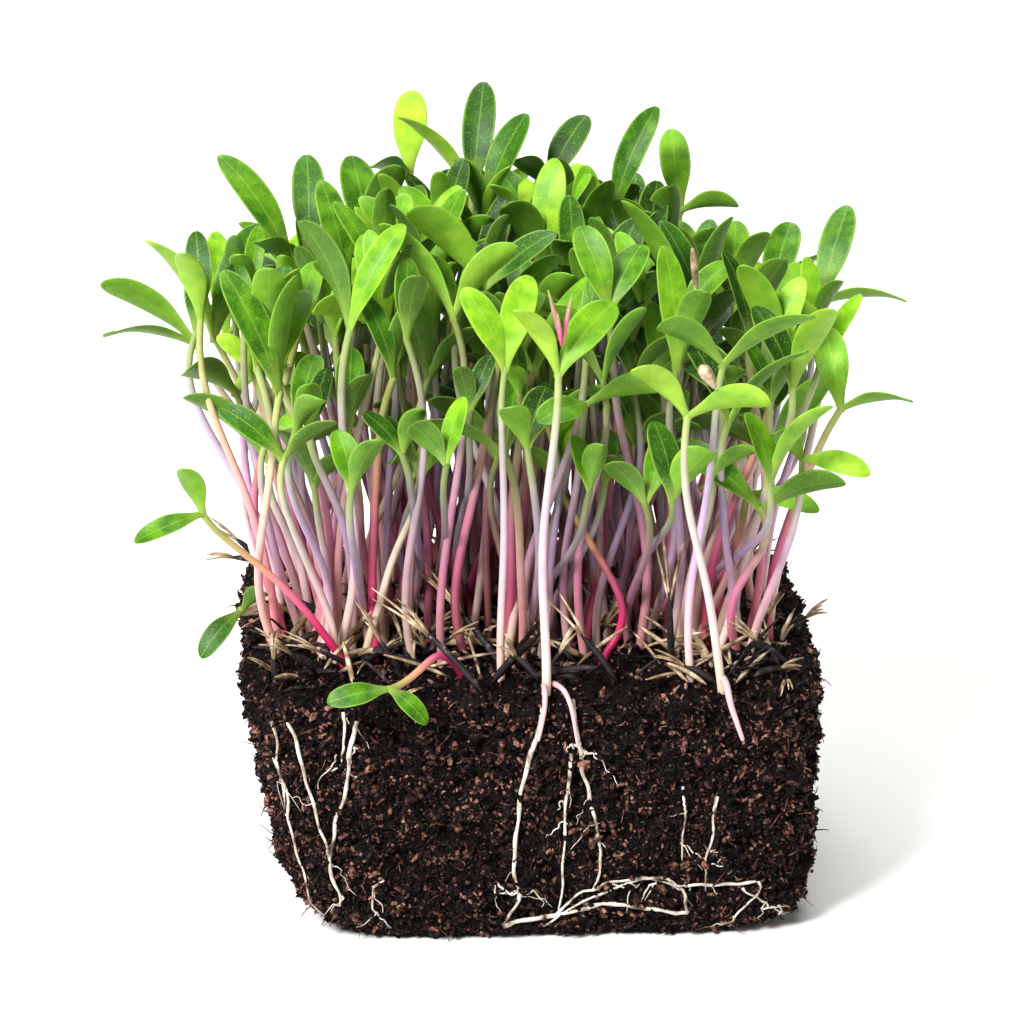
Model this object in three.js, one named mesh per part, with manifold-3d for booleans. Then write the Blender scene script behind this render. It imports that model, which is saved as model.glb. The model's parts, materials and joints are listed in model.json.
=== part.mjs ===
// A living block of microgreens lifted out of its pot: dark soil, slender stems, paired seed leaves.
// Millimetres, +Z up, the front towards -Y, the origin at the centre of the flat underside.
import * as THREE from 'three';
import { mergeVertices } from 'three/addons/utils/BufferGeometryUtils.js';
import Module from 'manifold-3d';

const wasm = await Module();
wasm.setup();

// Soil block, sized at its rim
const SOIL_HEIGHT = 42;
const RIM_ROUND = 3;
const CORNER_POWER = 8;
const WALLS = {
  left: { reach: 46.5, taper: 6, foot: 9 },
  right: { reach: 48, taper: 1, foot: 7 },
  front: { reach: 44, taper: 2, foot: 5 },
  back: { reach: 44, taper: 2, foot: 6 },
};
const AROUND = 48;
const LEVELS = [0, 1.2, 3.2, 6.5, 13, 22, 31, 38, 40.8, 42];
const TOP_RINGS = [0.85, 0.6, 0.3];
const RELIEF = 0.9;
const SOIL_FINEST = 0.06;

// Stems and seed leaves
const STEM_FOOT_RADIUS = 0.95;
const STEM_HEAD_RADIUS = 0.65;
const STEM_SEGMENTS = 5;
const STEM_SINK = 7;
const STEM_PULL = 0.36;
const STEM_LEAST_RISE = 11;
const FORK_RISE = 0.7;
const LEAF_ARCH = 0.12;
const LEAF_TURN = 1;
const LEAF_BACK = 0.45;
const LEAF_FRONT = 0.25;
const LEAF_STATIONS = [0.4, 0.7, 0.93];
const HOLE_GAP = 0.6;

// Sprouts that grow by rule between the placed ones, four from each plain hole
const CLUMPS = 20;
const CLUMP_SIZE = 4;
const CLUMP_RADIUS = 2.1;
const CLUMP_HOLE = 3.6;
const CLUMP_SPACING = 10.5;
const CLUMP_TO_STEM = 6.4;
const CLEARANCE = 2;
const TRIES = 300;
const CROWDED_LOSS = 0.5;

// Crown of the whole stand as it is seen from the front: place across and the height it reaches there
const CROWN = [[-62, 98], [-50, 111], [-28, 114], [-18, 124], [24, 122], [32, 112], [48, 104], [62, 90]];
const CROWN_TILT = 0.3;
const CROWN_REACH = 60;

// Seed husks standing in the soil
const HUSKS = 16;
const HUSK_RADIUS = 0.8;

const LEAF_COLOUR = 0x5f9a2c;
const SOIL_COLOUR = 0x2a1c18;
const ROOT_COLOUR = 0xe9e4da;

// Sprouts read from the picture: foot on the soil [x, y]; node where the leaves part [x, y, z];
// bow of the stem [x, y] near the foot and near the node; leaf tips from the node [x, y, z, width]
const PLACED = [
  { foot: [-36, 12], node: [-50, 6, 89], bow: [2, 0, 8, 2], leaves: [[-10, -4, 17, 6.6], [7, 7, 17, 7]] },
  { foot: [-36, 22], node: [-53, 17, 85], bow: [3, 0, 6, 2], leaves: [[-15, -3, 11, 5.9], [-15, -8, 3, 5.5]] },
  { foot: [-32, 27], node: [-48, 26, 84], bow: [0, 0, 12, 0], leaves: [[15, -3, 8, 5.9], [-2, 6, 16, 5.9]] },
  { foot: [-29, -25], node: [-52, -29, 69], bow: [-6, 0, 8, 0], leaves: [[-4, -3, 8, 5.5], [-10, -4, -4, 4.8]] },
  { foot: [-33, -16], node: [-34, -20, 71], bow: [1, 0, 2, 0], leaves: [[-6, -4, 10, 5.5], [5, -5, 6, 5.1]] },
  { foot: [-27, 10], node: [-37, 6, 101], bow: [0, 0, 5, 2], leaves: [[-11, 5, 17, 6.6], [-5, -8, 6, 5.9]] },
  { foot: [-26, 18], node: [-34, 20, 99], bow: [0, 0, 3, 0], leaves: [[1, 8, 15, 6.8], [-9, -7, 2, 5.9]] },
  { foot: [-20, 24], node: [-24, 24, 100], bow: [-2, 0, 2, 0], leaves: [[-2, 8, 13, 7.9], [5, -4, 14, 6.6]] },
  { foot: [-23, 3], node: [-28, -5, 100], bow: [-1, 0, 3, 3], leaves: [[-5, 4, 16, 6.2], [-6, -9, 10, 6.2]] },
  { foot: [-31, -17], node: [-23, -20, 98], bow: [0, 0, -7, 0], leaves: [[-2, 5, 14, 6.2], [-10, -9, 5, 5.7]] },
  { foot: [-25, -7], node: [-16, -15, 88], bow: [-4, 0, -3, 2], leaves: [[-5, -7, 15, 6.2], [9, -6, 9, 7]] },
  { foot: [-16, 35], node: [-17, 37, 109], bow: [2, 0, 0, 0], leaves: [[0, 7, 12, 7], [-7, -8, 3, 6.2]] },
  { foot: [-7, 32], node: [-6, 34, 106], bow: [-2, 0, 0, 0], leaves: [[-12, -3, 14, 5.9], [3, 8, 17, 6.8]] },
  { foot: [2, 30], node: [-4, 27, 106], bow: [2, 0, 1, 0], leaves: [[7, 4, 14, 7], [-7, -6, 7, 6.6]] },
  { foot: [9, 32], node: [7, 35, 107], bow: [0, 0, 1, 0], leaves: [[6, 6, 11, 6.4], [-6, -7, 6, 6.2]] },
  { foot: [15, 22], node: [17, 22, 104], bow: [-2, 0, 0, 0], leaves: [[8, 2, 18, 5.5], [-6, -6, 8, 5.9]] },
  { foot: [28, 27], node: [29, 29, 104], bow: [0, 0, 0, 0], leaves: [[-2, 7, 12, 6.4], [9, -5, 2, 5.5]] },
  { foot: [-6, -13], node: [-7, -19, 103], bow: [1, 0, 1, 2], leaves: [[-11, -6, 14, 7.3], [11, 4, 8, 5.9]] },
  { foot: [-4, -31], node: [-4, -36, 94], bow: [-1, 0, 0, 2], leaves: [[-6, 4, 12, 6.2], [4, 7, 13, 6.2]] },
  { foot: [2, -40], node: [4, -43, 95], bow: [0, 0, -2, 1], leaves: [[-6, -7, 12, 5.3], [8, 6, 10, 6.8]] },
  { foot: [-1, -24], node: [-4, -33, 79], bow: [2, 0, 3, 3], leaves: [[-14, -4, 7, 5.9], [3, 4, 11, 5.5]] },
  { foot: [-26, -20], node: [-17, -26, 76], bow: [2, 0, 1, 1], leaves: [[6, -7, 7, 5.5], [-5, -6, 1, 5.1]] },
  { foot: [7, -20], node: [9, -32, 87], bow: [-1, 0, -2, 3], leaves: [[13, -4, 4, 5.9], [-8, -8, 0, 6.2]] },
  { foot: [12, -24], node: [7, -30, 73], bow: [9, 0, 5, 1], leaves: [[2, 4, 11, 5.5], [-4, -7, 6, 4.8]] },
  { foot: [19, -20], node: [13, -27, 101], bow: [3, 0, 1, 3], leaves: [[5, 7, 9, 6.8], [-5, 5, 12, 6.2]] },
  { foot: [24, -15], node: [25, -21, 97], bow: [-1, 0, 1, 2], leaves: [[-9, -4, 19, 6.2], [8, 4, 8, 5.5]] },
  { foot: [41, 8], node: [50, 4, 94], bow: [3, 0, -1, 1], leaves: [[6, 7, 14, 6.6], [13, -6, 2, 6.2]] },
  { foot: [41, -14], node: [51, -22, 83], bow: [-2, 0, -7, 2], leaves: [[10, -6, 3, 5.7], [-3, 7, 11, 6.2]] },
  { foot: [37, -22], node: [44, -30, 77], bow: [3, 0, 0, 2], leaves: [[10, -5, -1, 5.1], [-5, -7, 6, 5.9]] },
  { foot: [26, -36], node: [30, -42, 96], bow: [-1, 0, -2, 2], leaves: [[13, -7, 9, 6.4], [-10, -6, 8, 5.3]] },
  { foot: [31, -40], node: [24, -47, 89], bow: [-3, -6, -1, 0], leaves: [[-8, -5, 9, 5.9], [12, -7, 4, 5.9]] },
  { foot: [40, 18], node: [43, 10, 92], bow: [0, 0, 0, 2], leaves: [[3, 8, 12, 6.8], [10, -5, 9, 6.2]] },
  { foot: [33, 17], node: [38, 16, 93], bow: [-1, 0, -2, 0], leaves: [[-1, 9, 10, 6.4], [3, -7, 14, 5.5]] },
  { foot: [34, -8], node: [37, -17, 68], bow: [-3, 0, -1, 3], leaves: [[-8, -7, 4, 5.1], [11, -4, 0, 4.8]] },
  { foot: [-10, -33], node: [-23, -47, 45], bow: [-5, -2, 4, 1], leaves: [[-9, -3, -2, 4.8], [6, -4, -4, 4.4]] },
  { foot: [-41, -10], node: [-46, -14, 48], bow: [-1, -1, 1, 0], leaves: [[-7, -4, -6, 4.8], [4, -4, 4, 4]] },
];

// Roots that run down the walls: wall, then points [along the wall, height]
const ROOTS = [
  { wall: 'front', points: [[2, 38], [0, 32], [-2, 24], [-3, 14], [-2, 8], [-5, 4]] },
  { wall: 'front', points: [[6, 38], [8, 30], [10, 22], [11, 15], [10, 9]] },
  { wall: 'front', points: [[-38, 36], [-36, 28], [-33, 18], [-30, 8]] },
];
const ROOT_RADIUS = 0.6;
const ROOT_GAP = 0.5;

// Evenly spread numbers from 0 to 1 that are the same on every run
function seeded(seed) {
  let state = seed >>> 0;
  return () => {
    state = (state + 0x6d2b79f5) >>> 0;
    let mix = Math.imul(state ^ (state >>> 15), state | 1);
    mix ^= mix + Math.imul(mix ^ (mix >>> 7), mix | 61);
    return ((mix ^ (mix >>> 14)) >>> 0) / 4294967296;
  };
}

const between = (random, low, high) => low + (high - low) * random();
const vec = (x, y, z) => new THREE.Vector3(x, y, z);
const clamp01 = (value) => Math.min(1, Math.max(0, value));
const smooth = (value) => clamp01(value) ** 2 * (3 - 2 * clamp01(value));

function toManifold(geometry) {
  const bare = geometry.clone();
  bare.deleteAttribute('normal');
  bare.deleteAttribute('uv');
  const merged = mergeVertices(bare, 1e-4);
  return new wasm.Manifold(new wasm.Mesh({
    numProp: 3,
    vertProperties: new Float32Array(merged.attributes.position.array),
    triVerts: new Uint32Array(merged.index.array),
  }));
}

function toGeometry(solid) {
  const mesh = solid.getMesh();
  const geometry = new THREE.BufferGeometry();
  const points = [];
  for (let i = 0; i < mesh.numVert; i += 1) {
    points.push(...mesh.vertProperties.slice(i * mesh.numProp, i * mesh.numProp + 3));
  }
  geometry.setAttribute('position', new THREE.Float32BufferAttribute(points, 3));
  geometry.setIndex(Array.from(mesh.triVerts));
  geometry.computeVertexNormals();
  return geometry;
}

// Closed skin made of bands between rings, flat caps and pointed ends
class Skin {
  constructor() {
    this.corners = [];
  }

  face(a, b, c) {
    [a, b, c].forEach((p) => this.corners.push(p.x, p.y, p.z));
  }

  // The cut runs to the odd corners of the next ring, so both faces of a blade are cut alike
  band(ring, next) {
    ring.forEach((a, k) => {
      const j = (k + 1) % ring.length;
      if (k % 2) {
        this.face(a, ring[j], next[k]);
        this.face(ring[j], next[j], next[k]);
      } else {
        this.face(a, ring[j], next[j]);
        this.face(a, next[j], next[k]);
      }
    });
  }

  cap(ring, isStart) {
    for (let k = 1; k + 1 < ring.length; k += 1) {
      if (isStart) this.face(ring[0], ring[k + 1], ring[k]);
      else this.face(ring[0], ring[k], ring[k + 1]);
    }
  }

  point(ring, tip) {
    ring.forEach((a, k) => this.face(a, ring[(k + 1) % ring.length], tip));
  }

  solid() {
    const geometry = new THREE.BufferGeometry();
    geometry.setAttribute('position', new THREE.Float32BufferAttribute(this.corners, 3));
    return toManifold(geometry);
  }
}

function loft(rings, tip) {
  const skin = new Skin();
  skin.cap(rings[0], true);
  for (let i = 0; i + 1 < rings.length; i += 1) skin.band(rings[i], rings[i + 1]);
  if (tip) skin.point(rings[rings.length - 1], tip);
  else skin.cap(rings[rings.length - 1], false);
  return skin.solid();
}

// Tube of a few sides along a line of points
function tube(points, radii, sides) {
  const curve = new THREE.CatmullRomCurve3(points);
  const frames = curve.computeFrenetFrames(points.length - 1, false);
  const rings = points.map((p, i) => Array.from({ length: sides }, (unused, k) => {
    const angle = (2 * Math.PI * k) / sides;
    return p.clone()
      .addScaledVector(frames.normals[i], radii[i] * Math.cos(angle))
      .addScaledVector(frames.binormals[i], radii[i] * Math.sin(angle));
  }));
  return loft(rings);
}

// The outer skin alone, so that no pocket stays shut in where stem and leaves meet
function filled(solid) {
  const skins = solid.decompose();
  return skins.reduce((largest, skin) => (skin.volume() > largest.volume() ? skin : largest));
}

// Wall distances from the middle at a height, with the rounded foot and rim
function reach(wall, z) {
  const { reach: half, taper, foot } = WALLS[wall];
  let inset = taper * (1 - z / SOIL_HEIGHT);
  if (z < foot) inset += foot - Math.sqrt(foot ** 2 - (foot - z) ** 2);
  const rim = z - (SOIL_HEIGHT - RIM_ROUND);
  if (rim > 0) inset += RIM_ROUND - Math.sqrt(RIM_ROUND ** 2 - rim ** 2);
  return half - inset;
}

// Gentle crumbly relief, always inwards
function relief(x, y, z) {
  const wave = Math.sin(0.31 * x + 0.2 * z) * Math.cos(0.27 * y - 0.23 * z) + Math.sin(0.7 * x - 0.5 * y + 0.6 * z);
  return RELIEF * (0.5 - 0.25 * wave);
}

function soilPoint(angle, z, share) {
  const c = Math.cos(angle);
  const s = Math.sin(angle);
  const length = (Math.abs(c) ** CORNER_POWER + Math.abs(s) ** CORNER_POWER) ** (-1 / CORNER_POWER);
  const x = c * length * reach(c < 0 ? 'left' : 'right', z) * share;
  const y = s * length * reach(s < 0 ? 'front' : 'back', z) * share;
  if (z === 0) return vec(x, y, 0);
  const sunk = relief(x, y, z);
  const keep = 1 - sunk / Math.hypot(x, y, 1);
  if (z === SOIL_HEIGHT) return vec(x, y, z - sunk);
  return vec(x * keep, y * keep, z);
}

function soilBody() {
  const ring = (z, share) => Array.from({ length: AROUND }, (unused, k) => (
    soilPoint((2 * Math.PI * (k + 0.5)) / AROUND, z, share)));
  const rings = LEVELS.map((z) => ring(z, 1));
  TOP_RINGS.forEach((share) => rings.push(ring(SOIL_HEIGHT, share)));
  return loft(rings, vec(0, 0, SOIL_HEIGHT - relief(0, 0, SOIL_HEIGHT)));
}

// One sprout: the line of its stem, then its leaves as curves with a facing
function stemLine(sprout, segments) {
  const [fx, fy] = sprout.foot;
  const [nx, ny, nz] = sprout.node;
  const [ax, ay, bx, by] = sprout.bow;
  const rise = (nz - SOIL_HEIGHT) * STEM_PULL;
  const curve = new THREE.CubicBezierCurve3(
    vec(fx, fy, SOIL_HEIGHT), vec(fx + ax, fy + ay, SOIL_HEIGHT + Math.max(rise, STEM_LEAST_RISE)),
    vec(nx + bx, ny + by, nz - rise), vec(nx, ny, nz));
  return Array.from({ length: segments + 1 }, (unused, i) => curve.getPoint(i / segments));
}

// The flat side of a leaf turns half way from the sky to the front, where the light comes from
function leafPoint(sprout, leaf, t, side) {
  const node = vec(...sprout.node);
  const along = vec(leaf[0], leaf[1], leaf[2]);
  const length = along.length();
  const axis = along.clone().normalize();
  const up = vec(0, 0, 1).addScaledVector(axis, -axis.z).normalize();
  const front = vec(0, -1, 0).addScaledVector(axis, axis.y).normalize();
  const face = up.clone().addScaledVector(front, up.dot(front) < 0 ? -LEAF_TURN : LEAF_TURN).normalize();
  const across = axis.clone().cross(face);
  const bend = 4 * LEAF_ARCH * length * t * (1 - t);
  return {
    face,
    point: node.addScaledVector(along, t).addScaledVector(face, bend)
      .addScaledVector(across, side * leafHalfWidth(leaf, t)),
  };
}

// Strap outline: a narrow stalk, then a long blade with a round end
function leafHalfWidth(leaf, t) {
  const swell = 0.24 + 0.76 * smooth((t - 0.05) / 0.5);
  const end = t > 0.7 ? Math.sqrt(Math.max(0, 1 - ((t - 0.7) / 0.3) ** 2)) : 1;
  return (leaf[3] / 2) * swell * end;
}

// Four corners of a leaf at a station: back, one edge, front, other edge
function leafRing(sprout, leaf, t) {
  const mid = leafPoint(sprout, leaf, t, 0);
  return [
    mid.point.clone().addScaledVector(mid.face, -LEAF_BACK),
    leafPoint(sprout, leaf, t, -1).point,
    mid.point.clone().addScaledVector(mid.face, LEAF_FRONT),
    leafPoint(sprout, leaf, t, 1).point,
  ];
}

// The same ring begun at the corner that faces the start of the other ring best
function turned(ring, start) {
  const offsets = (list) => {
    const middle = list.reduce((sum, p) => sum.clone().add(p)).divideScalar(list.length);
    return list.map((p) => p.clone().sub(middle).normalize());
  };
  const from = offsets(start);
  const to = offsets(ring);
  const match = (shift) => from.reduce((sum, way, k) => sum + way.dot(to[(k + shift) % 4]), 0);
  const shifts = [0, 1, 2, 3].sort((one, two) => match(two) - match(one));
  return ring.map((unused, k) => ring[(k + shifts[0]) % 4]);
}

// Stem and both leaves as one skin: the stem's last ring forks into the two leaf stalks
function sproutBody(sprout, knot) {
  const line = stemLine(sprout, STEM_SEGMENTS);
  line.unshift(knot ?? vec(sprout.foot[0], sprout.foot[1], SOIL_HEIGHT - STEM_SINK));
  const [one, two] = sprout.leaves;
  const parting = vec(one[0] - two[0], one[1] - two[1], 0).normalize();
  const rings = line.map((p, i) => {
    const tangent = line[Math.min(i + 1, line.length - 1)].clone().sub(line[Math.max(i - 1, 0)]).normalize();
    const out = parting.clone().addScaledVector(tangent, -parting.dot(tangent)).normalize();
    const side = tangent.clone().cross(out);
    const grown = Math.max(0, i - 1) / STEM_SEGMENTS;
    const radius = STEM_FOOT_RADIUS + (STEM_HEAD_RADIUS - STEM_FOOT_RADIUS) * grown;
    return [[out, 1], [side, 1], [out, -1], [side, -1]].map(([way, sign]) => (
      p.clone().addScaledVector(way, sign * radius)));
  });
  const skin = new Skin();
  skin.cap(rings[0], true);
  for (let i = 0; i + 1 < rings.length; i += 1) skin.band(rings[i], rings[i + 1]);
  const [a, b, c, d] = rings[rings.length - 1];
  const fork = vec(...sprout.node).addScaledVector(vec(0, 0, 1), FORK_RISE);
  [[one, [a, b, fork, d]], [two, [c, d, fork, b]]].forEach(([leaf, start]) => {
    const last = LEAF_STATIONS.reduce((ring, t) => {
      const next = turned(leafRing(sprout, leaf, t), ring);
      skin.band(ring, next);
      return next;
    }, start);
    skin.point(last, leafPoint(sprout, leaf, 1, 0).point);
  });
  return skin.solid();
}

// Points over a sprout that must keep clear of every other sprout
function samples(sprout) {
  const points = stemLine(sprout, 32).slice(1);
  sprout.leaves.forEach((leaf) => {
    for (let i = 2; i <= 10; i += 1) {
      [-1, -0.5, 0, 0.5, 1].forEach((side) => points.push(leafPoint(sprout, leaf, i / 10, side).point));
    }
  });
  return points;
}

function outsideSoil(points) {
  return points.slice(3).every((p) => p.z > SOIL_HEIGHT + 1 || Math.abs(p.y) > WALLS.front.reach + 1
    || Math.abs(p.x) > WALLS.right.reach + 1);
}

function isClear(points, others) {
  return others.every((other) => points.every((p) => (
    other.every((q) => p.distanceToSquared(q) > CLEARANCE ** 2))));
}

// A copy bent a little further out of the way at each try, mostly in depth
function bent(sprout, random, step) {
  const sway = (most) => most * step * (2 * random() - 1);
  const [nx, ny, nz] = sprout.node;
  return {
    foot: sprout.foot,
    bow: sprout.bow.map((value) => value + sway(5)),
    node: [nx + sway(4), ny + sway(14), nz + sway(5)],
    leaves: sprout.leaves.map(([x, y, z, width]) => [x + sway(4), y + sway(10), z + sway(4), width]),
  };
}

function crownHeight(x) {
  const [first, last] = [CROWN[0], CROWN[CROWN.length - 1]];
  const k = CROWN.findIndex(([place]) => place > x);
  if (k === 0) return first[1];
  if (k < 0) return last[1];
  return THREE.MathUtils.mapLinear(x, CROWN[k - 1][0], CROWN[k][0], CROWN[k - 1][1], CROWN[k][1]);
}

const underCrown = (points) => points.every((p) => (
  Math.abs(p.x) < CROWN_REACH && p.z + CROWN_TILT * p.y < crownHeight(p.x)));

// A sprout that grows by rule: upright in the middle, leaning out at the edges, smaller where it is crowded
function grown(random, foot, size) {
  const [fx, fy] = foot;
  const low = random() < 0.25;
  const height = (low ? between(random, 30, 44) : between(random, 48, 60))
    + 0.1 * fy - 0.18 * Math.max(0, fx);
  const turn = between(random, 0, Math.PI);
  const leaves = [0, Math.PI].map((half) => {
    const angle = turn + half + between(random, -0.4, 0.4);
    const pitch = between(random, low ? 0.3 : 0.75, low ? 1 : 1.4);
    const length = size * between(random, 14, 19);
    return [length * Math.cos(pitch) * Math.cos(angle), length * Math.cos(pitch) * Math.sin(angle),
      length * Math.sin(pitch), size * between(random, 5.6, 7.4)];
  });
  return {
    foot,
    bow: [between(random, -5, 5), between(random, -5, 5), between(random, -4, 4), between(random, -4, 4)],
    node: [fx * 1.12 + between(random, -8, 8), fy * 1.12 + between(random, -8, 8), SOIL_HEIGHT + height],
    leaves,
  };
}

const random = seeded(20);
const taken = [];
const sprouts = PLACED.map((sprout) => {
  for (let i = 0; i < TRIES; i += 1) {
    const candidate = bent(sprout, random, i / TRIES);
    const points = samples(candidate);
    if (outsideSoil(points) && isClear(points, taken)) {
      taken.push(points);
      return candidate;
    }
  }
  throw new Error(`no clear place at foot ${sprout.foot}`);
});

// Holes for the clumps, spread over the top between the feet of the placed sprouts
const centres = [];
while (centres.length < CLUMPS) {
  const spot = [between(random, -37, 37), between(random, -22, 36)];
  const farFrom = (list, gap) => list.every(([x, y]) => Math.hypot(x - spot[0], y - spot[1]) > gap);
  if (farFrom(centres, CLUMP_SPACING) && farFrom(sprouts.map((s) => s.foot), CLUMP_TO_STEM)) centres.push(spot);
}

const clumps = centres.map(([cx, cy]) => {
  const members = [];
  const turn = between(random, 0, Math.PI);
  for (let k = 0; k < CLUMP_SIZE; k += 1) {
    const angle = turn + (2 * Math.PI * k) / CLUMP_SIZE;
    const foot = [cx + CLUMP_RADIUS * Math.cos(angle), cy + CLUMP_RADIUS * Math.sin(angle)];
    for (let i = 0; i < TRIES; i += 1) {
      const candidate = grown(random, foot, 1 - (CROWDED_LOSS * i) / TRIES);
      const points = samples(candidate);
      if (underCrown(points) && isClear(points.filter((p) => p.z > SOIL_HEIGHT + 4), taken)) {
        taken.push(points);
        members.push(candidate);
        break;
      }
    }
  }
  return { centre: [cx, cy], members };
});

// Black and tan seed husks, leaning in the soil wherever no stem is in the way
const husks = [];
while (husks.length < HUSKS) {
  const foot = vec(between(random, -41, 41), between(random, -40, 40), SOIL_HEIGHT - 2.5);
  const turn = between(random, 0, 2 * Math.PI);
  const lean = between(random, 0.35, 1.1);
  const length = between(random, 9, 15);
  const way = vec(Math.cos(lean) * Math.cos(turn), Math.cos(lean) * Math.sin(turn), Math.sin(lean));
  const line = [0, 0.3, 0.75, 1].map((t) => foot.clone().addScaledVector(way, t * length));
  const inside = Math.abs(line[3].x) < 44 && Math.abs(line[3].y) < 42;
  const open = [...Array(9).keys()].map((k) => foot.clone().addScaledVector(way, ((k + 1) / 9) * length));
  const sunk = [foot, ...open].filter((p) => p.z < SOIL_HEIGHT + 2);
  const passes = ([x, y], gap) => sunk.every((p) => Math.hypot(x - p.x, y - p.y) > gap);
  const farFromHoles = centres.every((spot) => passes(spot, CLUMP_HOLE + 2));
  const farFromFeet = sprouts.every((s) => passes(s.foot, 3.4));
  if (inside && farFromHoles && farFromFeet && isClear(open, taken)) {
    taken.push(open);
    husks.push(tube(line, [0.6, 1, 0.9, 0.3].map((share) => share * HUSK_RADIUS), 4));
  }
}

function bore([x, y], radius, sides) {
  const drill = new THREE.CylinderGeometry(radius, radius, 2 * (STEM_SINK + HOLE_GAP), sides);
  drill.rotateX(Math.PI / 2);
  drill.translate(x, y, SOIL_HEIGHT);
  return toManifold(drill);
}

let soil = soilBody();
sprouts.forEach((sprout) => {
  soil = soil.subtract(bore(sprout.foot, STEM_FOOT_RADIUS + HOLE_GAP, 6));
});
centres.forEach((centre) => {
  soil = soil.subtract(bore(centre, CLUMP_HOLE, 8));
});
husks.forEach((husk) => {
  soil = soil.add(husk);
});

const assembly = new THREE.Group();

function addNode(name, solid, colour, roughness) {
  const material = new THREE.MeshStandardMaterial({ color: colour, roughness, metalness: 0 });
  const mesh = new THREE.Mesh(toGeometry(solid), material);
  mesh.name = name;
  assembly.add(mesh);
}

const numbered = (name, index) => `${name}_${String(index + 1).padStart(2, '0')}`;

addNode('soil_block', soil.simplify(SOIL_FINEST), SOIL_COLOUR, 0.95);
sprouts.forEach((sprout, i) => addNode(numbered('sprout', i), sproutBody(sprout), LEAF_COLOUR, 0.6));
clumps.forEach(({ centre, members }, i) => {
  const knot = vec(centre[0], centre[1], SOIL_HEIGHT - STEM_SINK + 1);
  const bodies = members.map((sprout) => sproutBody(sprout, knot));
  const solid = bodies.reduce((sum, body) => sum.add(body));
  addNode(numbered('sprout_clump', i), filled(solid), LEAF_COLOUR, 0.6);
});
ROOTS.forEach(({ wall, points }, i) => {
  const line = points.map(([along, z]) => {
    const sign = wall === 'front' ? -1 : 1;
    return vec(along, sign * (reach(wall, z) + ROOT_GAP + ROOT_RADIUS), z);
  });
  addNode(numbered('root', i), tube(line, line.map(() => ROOT_RADIUS), 4), ROOT_COLOUR, 0.7);
});

export default assembly;
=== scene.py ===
# %% [markdown]
# # A block of living microgreens
# The object is a square block of dark potting soil that was lifted out of its pot, with a dense stand of
# seedlings on it. Every seedling is one stem that forks into two strap-shaped seed leaves. The packed
# solids give the place of every seedling, and this lesson puts a finer plant, soil and litter in their
# place.

# %% Load the frame
import json
import math

import bmesh
import bpy
import numpy as np
from mathutils import Matrix, Vector, noise
from mathutils.bvhtree import BVHTree
from mathutils.kdtree import KDTree

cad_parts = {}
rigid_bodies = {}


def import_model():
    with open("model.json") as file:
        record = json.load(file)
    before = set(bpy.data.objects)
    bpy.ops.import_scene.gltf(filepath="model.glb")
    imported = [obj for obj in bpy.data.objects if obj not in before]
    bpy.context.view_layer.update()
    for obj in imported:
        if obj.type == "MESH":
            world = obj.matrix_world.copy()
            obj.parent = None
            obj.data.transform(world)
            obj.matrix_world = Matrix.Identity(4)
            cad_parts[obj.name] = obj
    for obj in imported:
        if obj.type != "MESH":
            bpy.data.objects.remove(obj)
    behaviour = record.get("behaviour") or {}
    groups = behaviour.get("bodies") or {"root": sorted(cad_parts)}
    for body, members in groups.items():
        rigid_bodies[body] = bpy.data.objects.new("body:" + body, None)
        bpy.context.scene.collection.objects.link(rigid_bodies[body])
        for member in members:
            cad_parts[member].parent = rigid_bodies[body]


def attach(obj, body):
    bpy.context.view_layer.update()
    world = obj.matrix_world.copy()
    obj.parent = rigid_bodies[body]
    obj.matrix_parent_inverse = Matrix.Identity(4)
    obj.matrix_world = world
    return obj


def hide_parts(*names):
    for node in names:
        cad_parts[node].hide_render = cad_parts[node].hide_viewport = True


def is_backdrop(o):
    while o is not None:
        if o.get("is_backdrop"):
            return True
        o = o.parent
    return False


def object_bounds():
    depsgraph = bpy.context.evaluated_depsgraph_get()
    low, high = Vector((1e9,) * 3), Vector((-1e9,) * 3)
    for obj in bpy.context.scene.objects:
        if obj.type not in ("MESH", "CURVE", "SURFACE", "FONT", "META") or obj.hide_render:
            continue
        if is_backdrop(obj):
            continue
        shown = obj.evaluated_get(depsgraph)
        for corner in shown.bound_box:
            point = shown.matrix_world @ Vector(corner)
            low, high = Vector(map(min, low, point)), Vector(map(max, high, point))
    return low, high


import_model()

MM = 0.001
cad_box = [list(map(float, corner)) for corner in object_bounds()]
print("solids reach from", cad_box[0], "to", cad_box[1])

# %% [markdown]
# ## Camera
# The picture was taken from a little above and slightly to the left, from far away with a long lens, so
# parallel edges hardly converge. A camera can be fitted by eye in the viewport, but two angles and a
# distance that are written down can be read and changed.

# %% Camera
target = Vector((-1, 0, 60)) * MM
elevation, azimuth, distance = math.radians(16.5), math.radians(-3), 0.9
backwards = Vector((math.sin(azimuth) * math.cos(elevation), -math.cos(azimuth) * math.cos(elevation),
                    math.sin(elevation)))
camera = bpy.data.objects.new("picture_camera", bpy.data.cameras.new("picture_camera"))
camera.data.lens = 190.6
camera.data.sensor_width = 36
camera.location = target + backwards * distance
camera.rotation_euler = backwards.to_track_quat("Z", "Y").to_euler()
bpy.context.scene.collection.objects.link(camera)
bpy.context.scene.camera = camera
print("camera at", [round(n, 3) for n in camera.location])

# %% [markdown]
# ## Colours and shader nodes
# Colours are picked as sRGB hex codes, while a shader mixes linear light, so one function converts them.
# The other adds a node with its settings and links. Nodes could be wired by hand in the editor, but a
# list of steps shows at once what feeds what.


# %% One function for colours and one for shader nodes
def srgb(code):
    channels = [int(code[i:i + 2], 16) / 255 for i in (1, 3, 5)]
    linear = [c / 12.92 if c <= 0.04045 else ((c + 0.055) / 1.055) ** 2.4 for c in channels]
    return (*linear, 1.0)


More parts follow.
